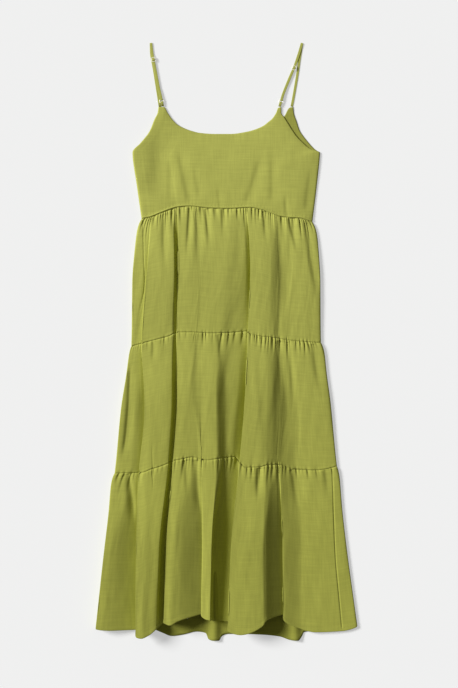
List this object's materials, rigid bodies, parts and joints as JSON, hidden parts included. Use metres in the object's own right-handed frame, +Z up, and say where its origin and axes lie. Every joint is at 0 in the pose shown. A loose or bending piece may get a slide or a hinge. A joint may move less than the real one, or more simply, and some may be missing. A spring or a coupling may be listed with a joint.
{
  "type": "a-line dress",
  "caption": "Sleeveless tiered midi dress with a plain bodice, gathered skirt and thin adjustable straps, laid flat with its back panels on the surface.",
  "frame": {"origin": "on the surface that the dress lies on, in the middle of its length and width", "axes": "+X across the dress to the right, +Y from the hem to the straps, +Z up off the surface"},
  "size_m": [0.548, 1.2555, 0.035],
  "materials": {
    "cloth": "matte plain woven cloth, olive green",
    "strap_cloth": "the same cloth, folded and stitched as a narrow band",
    "fitting": "smooth cream coating"
  },
  "bodies": {
    "root": {"bodice_front": "cloth", "bodice_back": "cloth", "tier_1_front": "cloth", "tier_1_back": "cloth", "tier_2_front": "cloth", "tier_2_back": "cloth", "tier_3_front": "cloth", "tier_3_back": "cloth", "strap_left": "strap_cloth", "strap_right": "strap_cloth", "strap_loop_left": "strap_cloth", "strap_loop_right": "strap_cloth", "ring_left": "fitting", "ring_right": "fitting", "slider_left": "fitting", "slider_right": "fitting"}
  },
  "joints": []
}
